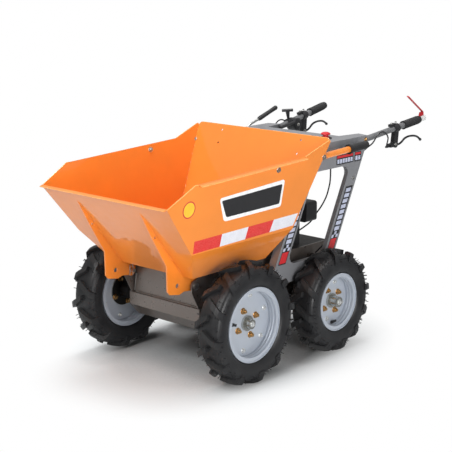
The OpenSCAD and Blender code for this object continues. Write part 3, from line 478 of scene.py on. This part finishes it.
def tube(paths, radius, ripple=0.0, smooth=False):
    data = bpy.data.curves.new("path", "CURVE")
    data.dimensions = "3D"
    data.bevel_depth = radius * mm
    data.bevel_resolution = 3
    data.use_fill_caps = True
    for path in paths:
        spline = data.splines.new("NURBS" if smooth else "POLY")
        spline.points.add(len(path) - 1)
        for k, (point, spot) in enumerate(zip(spline.points, path)):
            point.co = (*spot, 1)
            point.radius = 1 + ripple * (1 if k % 2 else -1)
        if smooth:
            spline.order_u = 4
            spline.use_endpoint_u = True
            spline.resolution_u = 6
    holder = bpy.data.objects.new("path", data)
    bpy.context.scene.collection.objects.link(holder)
    bpy.context.view_layer.update()
    mesh = bpy.data.meshes.new_from_object(holder.evaluated_get(bpy.context.evaluated_depsgraph_get()))
    bm = bmesh.new()
    bm.from_mesh(mesh)
    bpy.data.objects.remove(holder)
    bpy.data.curves.remove(data)
    bpy.data.meshes.remove(mesh)
    return bm


beadForm = {"pitch": 3, "ripple": 0.12}


def weldBeads(runs, radius):
    paths = []
    for first, last in runs:
        count = max(2, round((last - first).length / (beadForm["pitch"] * mm)))
        paths.append([first.lerp(last, k / count) for k in range(count + 1)])
    return mirrored(tube(paths, radius, beadForm["ripple"]))


boltForm = {"edge": 0.12, "washerEdge": (0.8, 0.96), "stub": 0.31, "stubEnd": (0.6, 0.8)}


def hexBolt(across, height, washer, washerT=1.6, stub=0.0):
    radius, top = across / math.sqrt(3), washerT + height
    low, slim = boltForm["washerEdge"]
    head = prism(6, radius, washerT, top, boltForm["edge"] * radius)
    plate = lathe([(0, 0), (washer, 0), (washer, washerT * low), (washer * slim, washerT), (0, washerT)])
    if not stub:
        return joined(head, plate)
    r, end = across * boltForm["stub"], top + stub
    back, point = boltForm["stubEnd"]
    thread = lathe([(0, top), (r, top), (r, end - back), (r * point, end), (0, end)], 16)
    return joined(head, plate, thread)


# wheels: clamp bolts, hub nuts, valves, rim ridges and moulding hairs
wheelForm = {
    "f": {"axle": (253, 230), "clamps": (6, 104, 40), "nuts": (4, 52.5, 68), "valve": (80, 8, 17),
          "crown": 214, "bead": 127, "hubEnd": 31},
    "r": {"axle": (-253, 205), "clamps": (4, 75, 18), "nuts": (4, 51.5, 61), "valve": (94, -95, 26),
          "crown": 189, "bead": 101.5, "hubEnd": 46},
    "middle": 330, "discHalf": 3, "flangeBack": 11, "stemLean": 0.5, "endTurn": 0.4,
    "clampBolt": (12, 6, 10), "clampNut": (11, 6, 9, 1.6, 3),
    "hubNut": (17, 9, 12.5, 2.2, 6), "hubHead": (17, 7, 12, 1.5), "endBolt": (13, 5.5, 11, 2),
    "ridgesAt": (14, 26, -20), "ridgeIn": 3,
    "ridge": ((0.5, -4), (-1.2, -3), (-2.4, 0), (-1.2, 3), (0.5, 4), (0.5, -4)),
    "stemFoot": ((0, 0), (7.5, 0), (7.5, 2), (5.8, 4)),
    "stemCap": ((5.4, -9), (4.4, -8), (4.4, -7), (5, -6.5), (5, -1), (4, 0), (0, 0)),  # back from its end
}


def onWheel(form, side, radius, angle, lift):
    q = math.radians(angle)
    x, z = form["axle"]
    return at(x + radius * math.cos(q), side * (wheelForm["middle"] + lift), z + radius * math.sin(q))


def ring(part, form, count, radius, first, side, lift, out=1):
    angles = [first + 360 / count * k for k in range(count)]
    return scatter(part, [facing(onWheel(form, side, radius, angle, lift), (0, side * out, 0),
                                 math.radians(angle)) for angle in angles])


def valve(long):
    return lathe([*wheelForm["stemFoot"], *((r, long + z) for r, z in wheelForm["stemCap"])], 20)


def rimRidge(bead, place):
    r = bead - wheelForm["ridgeIn"]
    return lathe([(r + out, place + y) for out, y in wheelForm["ridge"]], 64)


def dressWheel(code):
    form = wheelForm[code[0]]
    side = 1 if code[1] == "l" else -1
    body = "wheel_" + code
    tag = "wheel" + code.upper()
    face, back = wheelForm["discHalf"], wheelForm["flangeBack"]
    clamps = ring(hexBolt(*wheelForm["clampBolt"]), form, *form["clamps"], side, face)
    inside = ring(hexBolt(*wheelForm["clampNut"]), form, *form["clamps"], side, -face, -1)
    piece(tag + "ClampBolts", joined(clamps, inside), brightZinc, body)
    nuts = ring(hexBolt(*wheelForm["hubNut"]), form, *form["nuts"], side, face)
    heads = ring(hexBolt(*wheelForm["hubHead"]), form, *form["nuts"], side, -back, -1)
    piece(tag + "HubNuts", joined(nuts, heads), goldPlate, body)
    reach, angle, long = form["valve"]
    q, lean = math.radians(angle), wheelForm["stemLean"]
    stem = valve(long)
    stem.transform(facing(onWheel(form, side, reach, angle, face),
                          (-lean * math.cos(q), side, -lean * math.sin(q))))
    slotPiece(tag + "Valve", stem, body, "soft_black")
    end = hexBolt(*wheelForm["endBolt"])
    end.transform(facing(onWheel(form, side, 0, 0, form["hubEnd"]), (0, side, 0), wheelForm["endTurn"]))
    piece(tag + "EndBolt", end, brightZinc, body)
    ridges = joined(*(rimRidge(form["bead"], place) for place in wheelForm["ridgesAt"]))
    ridges.transform(facing(onWheel(form, side, 0, 0, 0), (0, side, 0)))
    slotPiece(tag + "RimRidges", ridges, body, "silver_paint")
    hairs(tag, form, side, body)


hairForm = {"rows": (12, 24, 38, 52, 66, 80), "perRow": 42, "long": (7, 14), "thick": 1.25, "wallHalf": 53,
            "power": 0.62, "foot": 15, "scatter": 0.3, "outerShare": 0.6,
            "blank": (-0.8, 1000, 0.1)}  # foot, top and chamfer before it is grown to length


def hairs(tag, form, side, body):
    draw = random.Random(len(tag) + form["crown"] + side)
    wide = (form["bead"] + hairForm["foot"] + form["crown"]) / 2
    x, z = form["axle"]
    loose, power = hairForm["scatter"], hairForm["power"]
    places = []
    for row in hairForm["rows"]:
        q = math.radians(row)
        reach = wide + (form["crown"] - wide) * math.sin(q) ** power
        out = hairForm["wallHalf"] * math.cos(q) ** power
        for k in range(hairForm["perRow"]):
            turn = math.tau * (k + draw.uniform(-loose, loose)) / hairForm["perRow"]
            flip = 1 if draw.random() < hairForm["outerShare"] else -1
            spot = at(x + reach * math.cos(turn), side * wheelForm["middle"] + flip * out,
                      z + reach * math.sin(turn))
            lean = turn + draw.uniform(-loose, loose)
            axis = (math.cos(lean) * math.sin(q), flip * math.cos(q), math.sin(lean) * math.sin(q))
            grow = Matrix.Diagonal((1, 1, draw.uniform(*hairForm["long"]) * mm, 1))
            places.append(facing(spot, axis) @ grow)
    hair = prism(4, hairForm["thick"], *hairForm["blank"])
    finish = tyreFront if x > 0 else tyreRear
    piece(tag + "MouldHairs", scatter(hair, places), finish, body)


for code in ("fl", "fr", "rl", "rr"):
    dressWheel(code)
print("wheels dressed")

# skip: reflective tape, blank signs, bolts, edges and welds
skipForm = {"bend": (296, 524), "top": (348, 856), "floorZ": 405, "floorFront": 409, "lip": (648.5, 712),
            "sheet": 3}
sideSlope = (skipForm["top"][0] - skipForm["bend"][0]) / (skipForm["top"][1] - skipForm["bend"][1])
sideTilt = math.atan(sideSlope)
sideOut = Vector((0, math.cos(sideTilt), -math.sin(sideTilt)))


def onSide(x, z, lift=0.0):
    y = skipForm["bend"][0] + sideSlope * (z - skipForm["bend"][1])
    return at(x, y, z) + sideOut * lift * mm


def faceX(z):
    (lipX, lipZ), floorX = skipForm["lip"], skipForm["floorFront"]
    return lipX - (lipX - floorX) / (lipZ - skipForm["floorZ"]) * (lipZ - z)


def film(corners, thick):
    bm = bmesh.new()
    face = bm.faces.new([bm.verts.new(c) for c in corners])
    face.normal_update()
    if face.normal.y < 0:
        face.normal_flip()
    raised = bmesh.ops.extrude_face_region(bm, geom=[face])["geom"]
    bmesh.ops.translate(bm, vec=face.normal * thick * mm,
                        verts=[v for v in raised if isinstance(v, bmesh.types.BMVert)])
    bmesh.ops.recalc_face_normals(bm, faces=bm.faces[:])
    return bm


filmLift = 0.05  # mm, keeps a film clear of its sheet
tapeForm = {"front": (495, 528), "rear": (-52, 537), "high": 46, "thick": 0.5, "runs": 4, "rearLean": 22}


def tapeRuns():
    (x0, z0), (x1, z1) = tapeForm["front"], tapeForm["rear"]
    bands = {"Red": [], "White": []}
    for k in range(tapeForm["runs"]):
        ends = []
        for share in (k / tapeForm["runs"], (k + 1) / tapeForm["runs"]):
            low = z0 + (z1 - z0) * share
            xLow, xHigh = x0 + (x1 - x0) * share, x0 + (x1 - tapeForm["rearLean"] - x0) * share
            ends.append((onSide(xLow, low, filmLift), onSide(xHigh, low + tapeForm["high"], filmLift)))
        corners = [ends[0][0], ends[0][1], ends[1][1], ends[1][0]]
        bands["White" if k % 2 else "Red"].append(film(corners, tapeForm["thick"]))
    piece("tapeRedRuns", mirrored(joined(*bands["Red"])), tapeRed, "skip")
    piece("tapeWhiteRuns", mirrored(joined(*bands["White"])), tapeWhite, "skip")


tapeRuns()

signForm = {"outer": ((388, 713), (34, 732), (38, 627), (352, 622)), "inner": (0.93, 0.72),
            "sheet": (0.05, 0.35, 12), "panel": (0.4, 0.2, 6),  # lift, thickness, corner
            "disc": (540, 696), "discR": 26.66, "rimR": 31, "discT": 0.4, "rimT": 0.45}


def sheetOn(corners, lift, thick, corner):
    bm = film([onSide(x, z, lift) for x, z in corners], thick)
    posts = [e for e in bm.edges if abs((e.verts[1].co - e.verts[0].co).normalized().dot(sideOut)) > 0.9]
    return ease(bm, posts, corner, 5)


def blankSigns():
    outer = signForm["outer"]
    wide, high = signForm["inner"]
    midX, midZ = (sum(values) / len(outer) for values in zip(*outer))
    inner = [(midX + (x - midX) * wide, midZ + (z - midZ) * high) for x, z in outer]
    piece("signSheet", mirrored(sheetOn(outer, *signForm["sheet"])), filmWhite, "skip")
    piece("signPanel", mirrored(sheetOn(inner, *signForm["panel"])), filmDark, "skip")
    r, rimR, t, rimT = (signForm[key] for key in ("discR", "rimR", "discT", "rimT"))
    disc = lathe([(0, 0), (r, 0), (r, t), (0, t)], 40)
    rim = lathe([(r, 0), (rimR, 0), (rimR, rimT), (r, rimT), (r, 0)], 40)
    for name, bm, finish in (("signDisc", disc, filmAmber), ("signDiscRim", rim, filmRed)):
        bm.transform(facing(onSide(*signForm["disc"], filmLift), sideOut))
        piece(name, mirrored(bm), finish, "skip")


blankSigns()

sideBolts = {"spots": ((80, 774), (-189, 786)), "bolt": (13, 5, 11), "nut": (13, 6, 11, 1.6, 4), "turn": 0.3}


def boltSides():
    spots, turn = sideBolts["spots"], sideBolts["turn"]
    bolts = scatter(hexBolt(*sideBolts["bolt"]), [facing(onSide(*spot), sideOut, turn) for spot in spots])
    slotPiece("skipSideBolts", mirrored(bolts), "skip", "zinc")
    inside = [facing(onSide(*spot, -skipForm["sheet"]), -sideOut, turn) for spot in spots]
    nuts = scatter(hexBolt(*sideBolts["nut"]), inside)
    slotPiece("skipInnerNuts", turnedOver(nuts), "skip", "zinc")  # right side only, the tube is on the left


boltSides()

edgeForm = {
    "wire": 1.7,
    "rear": ((-220.3, 321, 856.2), (-219.6, 331.3, 854.7), (-217.4, 338.1, 850.2), (-213.7, 341.4, 842.8)),
    "side": ((-214.5, 344.5, 843.5), (-213.6, 345.3, 848.6), (-208.6, 345.6, 850.2), (-199.4, 345.2, 848),
             (-72, 338.2, 803)),
    "flange": ((-72.2, 353, 795.6), (503.3, 349.3, 772.6)),
    "front": ((503.4, 335.8, 778.3), (519.5, 334.4, 779), (648.5, 323.9, 712)),
    "lip": ((659.4, 322, 709.7),),
}


def roundEdges():
    def spots(name):
        return [at(*p) for p in edgeForm[name]]

    def across(name):
        return [at(x, -y, z) for x, y, z in edgeForm[name][::-1]] + spots(name)

    sides = mirrored(tube([spots(name) for name in ("side", "flange", "front")], edgeForm["wire"]))
    ends = tube([across("rear"), across("lip")], edgeForm["wire"])
    # the edge tubes carry the paler orange of a painted highlight
    piece("skipEdges", joined(sides, ends), edgeHighlightPaint, "skip")


roundEdges()

cornerForm = {"seam": ((7.5, 211, 411), (-50.5, 292.5, 525), (-210, 340.5, 838)), "stitch": 11, "pitch": 34,
              "first": 0.4, "bead": 1.6}


def stitchCorners():
    runs = []
    for low, high in zip(cornerForm["seam"], cornerForm["seam"][1:]):
        first, last = at(*low), at(*high)
        reach = (last - first).length
        stitch = (last - first) * (cornerForm["stitch"] * mm / reach)
        count = int(reach / (cornerForm["pitch"] * mm))
        starts = [first.lerp(last, (k + cornerForm["first"]) / count) for k in range(count)]
        runs += [(start, start + stitch) for start in starts]
    slotPiece("cornerStitches", weldBeads(runs, cornerForm["bead"]), "skip", "orange_paint")


stitchCorners()

finForm = {"y": 162, "aside": 4.6, "out": 0.8, "bead": 2.2,
           "stitches": ((660, 640), (610, 590), (555, 530), (500, 480), (450, 425))}


def weldFins():
    runs = []
    for stitch in finForm["stitches"]:
        for y in (finForm["y"] - finForm["aside"], finForm["y"] + finForm["aside"]):
            runs.append([at(faceX(z) + finForm["out"], y, z) for z in stitch])
    slotPiece("finWelds", weldBeads(runs, finForm["bead"]), "skip", "orange_paint")


weldFins()
print("skip dressed")

# front of the chassis: spring clips on the tipping pins, welds of the panel
clipForm = {"pin": (360, 362), "y": 151, "wire": 1.6, "leg": ((0, 19), (0, -16)),
            "loop": ((0, 19), (5, 27), (13, 26), (16, 18), (14.5, 8), (15.5, 0), (14.5, -8), (18, -17))}


def springClips():
    x, z = clipForm["pin"]
    leg, loop = ([at(x + ahead, clipForm["y"], z + up) for ahead, up in clipForm[key]] for key in ("leg", "loop"))
    wires = joined(tube([leg], clipForm["wire"]), tube([loop], clipForm["wire"], smooth=True))
    slotPiece("pinClips", mirrored(wires), "chassis", "zinc")


springClips()

seamForm = {"x": 333.2, "bead": 2.4, "runs": (((171, 274), (159, 345)), ((0, 271), (165, 271)))}


def weldPanel():
    runs = [[at(seamForm["x"], *end) for end in run] for run in seamForm["runs"]]
    piece("panelWelds", weldBeads(runs, seamForm["bead"]), weldMetal, "chassis")


weldPanel()
print("front dressed")

# handlebars: ribs, pivots, adjusters and screws
barForm = {"from": (-622, 238, 801), "splay": 2.9, "rise": {1: 7.2, -1: 10.2}, "ends": {1: 345, -1: 341},
           "clampAt": 176, "drop": 66, "ahead": 14, "horn": 34}


def barAxes(side):
    rise, splay = math.radians(barForm["rise"][side]), math.radians(barForm["splay"])
    flat = math.cos(rise)
    along = Vector((-flat * math.cos(splay), side * flat * math.sin(splay), math.sin(rise)))
    inward = Vector((0, -side, 0))
    inward = (inward - along * inward.dot(along)).normalized()
    up = along.cross(inward) * side
    return along, up if up.z > 0 else -up, inward


def onBar(side, reach, up=0.0, inward=0.0):
    axes = barAxes(side)
    x, y, z = barForm["from"]
    return at(x, side * y, z) + (axes[0] * reach + axes[1] * up + axes[2] * inward) * mm


ribForm = {"r": 16.5, "back": 104, "count": 13, "pitch": 7.2,
           "rib": ((-1, -2.4), (0, -2.4), (1.3, -1.4), (1.3, 1.4), (0, 2.4), (-1, 2.4), (-1, -2.4)),
           "cap": ((0, 0), (14, 0), (15.5, 1.5), (14.5, 4), (10, 5.5), (0, 6))}


def gripRibs():
    places = []
    for side in (1, -1):
        first = barForm["ends"][side] - ribForm["back"]
        for k in range(ribForm["count"]):
            places.append(facing(onBar(side, first + ribForm["pitch"] * k), barAxes(side)[0]))
    ribs = scatter(lathe([(ribForm["r"] + out, z) for out, z in ribForm["rib"]], 28), places)
    cap = lathe(ribForm["cap"], 28)
    cap.transform(facing(onBar(-1, barForm["ends"][-1]), barAxes(-1)[0]))
    slotPiece("gripRibs", joined(ribs, cap), "chassis", "soft_black")


gripRibs()

leverForm = {"bolt": (9, 3.5, 7, 1), "boltOut": 10, "screw": (7, 4, 4.5, 0.8), "screwsAt": (-24, 4), "screwUp": 23.5,
             "barrel": ((3.6, 0), (6.5, 0), (6.5, 5), (5, 6), (5, 9), (6, 10), (6, 13), (4.6, 14), (4.2, 22),
                        (3.6, 22), (3.6, 0))}


def leverFittings():
    bolts, screws, barrels = [], [], []
    pivot, drop = barForm["clampAt"] - barForm["ahead"], -barForm["drop"]
    for side in (1, -1):
        along, up, inward = barAxes(side)
        for flip in (1, -1):
            bolts.append(facing(onBar(side, pivot, drop, flip * leverForm["boltOut"]), inward * flip))
        for reach in leverForm["screwsAt"]:
            screws.append(facing(onBar(side, barForm["clampAt"] + reach, leverForm["screwUp"]), up))
        barrels.append(facing(onBar(side, pivot - barForm["horn"], drop), -along))
    heads = joined(scatter(hexBolt(*leverForm["bolt"]), bolts), scatter(hexBolt(*leverForm["screw"]), screws))
    slotPiece("leverBolts", heads, "chassis", "zinc")
    slotPiece("cableAdjusters", scatter(lathe(leverForm["barrel"], 18), barrels), "chassis", "black_metal")


leverFittings()

drumForm = {"reach": 84, "drop": 12, "inward": 34, "screw": (10, 4, 8, 1.2), "screwIn": 2,
            "face": ((0, 0), (26, 0), (26, 1.5), (22, 3.5), (12, 3.5), (11, 2), (0, 2))}


def throttleFace():
    inward = barAxes(-1)[2]
    spot = onBar(-1, drumForm["reach"], -drumForm["drop"], drumForm["inward"])
    face = lathe(drumForm["face"], 32)
    face.transform(facing(spot, inward))
    slotPiece("throttleFace", face, "chassis", "black_plastic")
    screw = hexBolt(*drumForm["screw"])
    screw.transform(facing(spot + inward * drumForm["screwIn"] * mm, inward))
    slotPiece("throttleScrew", screw, "chassis", "zinc")


throttleFace()
print("handlebars dressed")

# console and side frames: bolts and plain marking films
consoleForm = {"half": 264.3, "spots": ((-559, 804), (-250, 806)), "bolt": (10, 4.5, 9, 1.4), "turn": 0.2,
               "button": (-395, 185, 820),
               "collar": ((17, 0), (25, 0), (25, 3), (23, 4.5), (17, 4.5), (17, 0))}


def plateBolts(size, spots, y, turn):
    places = [facing(at(x, y, z), (0, 1, 0), turn) for x, z in spots]
    return mirrored(scatter(hexBolt(*size), places))


def dressConsole():
    bolts = plateBolts(consoleForm["bolt"], consoleForm["spots"], consoleForm["half"], consoleForm["turn"])
    piece("consoleBolts", bolts, goldPlate, "chassis")
    collar = lathe(consoleForm["collar"], 36)
    collar.transform(Matrix.Translation(at(*consoleForm["button"])))
    slotPiece("buttonCollar", collar, "chassis", "black_plastic")


dressConsole()

legForm = {
    "outer": 260, "foot": 40, "long": 375, "wide": 70, "lean": 0.49, "from": 300, "strip": (12, 53),
    "back": (378, 626, -2, 3), "red": (383, 424, 2, -1),  # low, high, in from the strip's two edges
    "checks": (428, 12, 2, 3),  # low, height, rows, columns
    "bars": (456, 15, 21, 8, 5, -4),  # low, height, pitch, count, edges
    "bands": ((-484, -371, 6), (-537, -492, 2)),  # rear, front, blocks
    "bandBack": (721, 760), "bandRed": (748, 757, 4), "bandPale": (726, 743, 6, 4),
    "bolt": (10, 4, 8, 1.2), "spots": ((-485, 655), (-322, 345), (-180, 345), (10, 330)), "turn": 0.5,
    "filmT": 0.3,
}


def onLeg(low, high, start, end):
    def rear(z):
        return legForm["foot"] - legForm["long"] - legForm["lean"] * (z - legForm["from"])

    return [(rear(low) + start, low), (rear(high) + start, high), (rear(high) + end, high), (rear(low) + end, low)]


def upright(low, high, rear, front):
    return [(rear, low), (rear, high), (front, high), (front, low)]


def onPlate(runs, name, finish, lift=0.0):
    y = legForm["outer"] + filmLift + lift
    made = [film([at(x, y, z) for x, z in corners], legForm["filmT"]) for corners in runs]
    piece(name, mirrored(joined(*made)), finish, "chassis")


def legFilms(start, end):
    def inStrip(low, high, first, last):
        return onLeg(low, high, start + first, end + last)

    low, tall, rows, columns = legForm["checks"]
    wide = (end - start) / columns
    pales = []
    for row in range(rows):
        foot = low + tall * row
        pales += [onLeg(foot, foot + tall, start + wide * k, start + wide * (k + 1))
                  for k in range(columns) if (row + k) % 2 == 0]
    low, tall, pitch, count, first, last = legForm["bars"]
    pales += [inStrip(low + pitch * k, low + tall + pitch * k, first, last) for k in range(count)]
    return [inStrip(*legForm["back"])], [inStrip(*legForm["red"])], pales


def bandFilms(rear, front, count):
    low, high, inset = legForm["bandRed"]
    red = upright(low, high, rear + inset, front - inset)
    low, high, first, gap = legForm["bandPale"]
    pitch = (front - rear - 2 * inset) / count
    starts = [rear + first + pitch * k for k in range(count)]
    pales = [upright(low, high, x, x + pitch - gap) for x in starts]
    return [upright(*legForm["bandBack"], rear, front)], [red], pales


def markLegs():
    films = [legFilms(*(edge + ahead for edge in legForm["strip"]))
             for ahead in (0, legForm["long"] - legForm["wide"])]
    films += [bandFilms(*band) for band in legForm["bands"]]
    backs, reds, pales = (sum(kind, []) for kind in zip(*films))
    onPlate(backs, "legBacking", filmDark)
    onPlate(reds, "legRedBlocks", filmRed, legForm["filmT"])
    onPlate(pales, "legPaleBlocks", filmPale, legForm["filmT"])
    bolts = plateBolts(legForm["bolt"], legForm["spots"], legForm["outer"], legForm["turn"])
    slotPiece("legBolts", bolts, "chassis", "zinc")


markLegs()
print("frames dressed")

# engine and brakes: cap, louvres, knob, screws and pins
engineForm = {
    "capAt": (-315, 30, 735), "cap": ((0, 0), (27, 0), (31, 2), (31, 9), (28, 12), (10, 14), (0, 14)),
    "louvreAt": (-412.6, -61, 506), "louvre": (2, 9, 5), "louvreEdge": 0.8, "louvres": (7, 14, 6, 13),
    "knobAt": (-392, 98, 519), "knob": ((0, 0), (13, 0), (13, 3), (9, 5), (9, 15), (7, 17), (0, 17)),
    "shroud": (-250, -145.3, 501), "shroudR": 92, "screws": 3, "screwTurn": 0.5, "screw": (8, 4, 7, 1),
}


def dressEngine():
    cap = lathe(engineForm["cap"], 20)
    cap.transform(Matrix.Translation(at(*engineForm["capAt"])))
    slotPiece("fuelCap", cap, "chassis", "black_plastic")
    x, y, z = engineForm["louvreAt"]
    columns, wide, rows, high = engineForm["louvres"]
    places = [Matrix.Translation(at(x, y + wide * k, z + high * row)) for row in range(rows) for k in range(columns)]
    louvres = scatter(block(engineForm["louvre"], engineForm["louvreEdge"]), places)
    slotPiece("mufflerLouvres", louvres, "chassis", "zinc")
    knob = lathe(engineForm["knob"], 12)
    knob.transform(facing(at(*engineForm["knobAt"]), (-1, 0, 0)))
    slotPiece("cleanerKnob", knob, "chassis", "black_plastic")
    x, y, z = engineForm["shroud"]
    r, count = engineForm["shroudR"], engineForm["screws"]
    turns = [math.tau * k / count + engineForm["screwTurn"] for k in range(count)]
    places = [facing(at(x + r * math.cos(q), y, z + r * math.sin(q)), (0, -1, 0)) for q in turns]
    slotPiece("shroudScrews", scatter(hexBolt(*engineForm["screw"]), places), "chassis", "zinc")


dressEngine()

armForm = {"axle": (-253, 205), "lean": 28, "long": 158,
           "heads": ((182.7, -1, 1.2), (196.7, 1, 4)), "across": 10, "washer": (8, 1)}  # y, side, height


def brakePins():
    q = math.radians(armForm["lean"])
    x = armForm["axle"][0] - armForm["long"] * math.sin(q)
    z = armForm["axle"][1] + armForm["long"] * math.cos(q)
    heads = [scatter(hexBolt(armForm["across"], height, *armForm["washer"]), [facing(at(x, y, z), (0, side, 0))])
             for y, side, height in armForm["heads"]]
    piece("brakePins", mirrored(joined(*heads)), copperPlate, "chassis")


brakePins()
print("engine and brakes dressed")
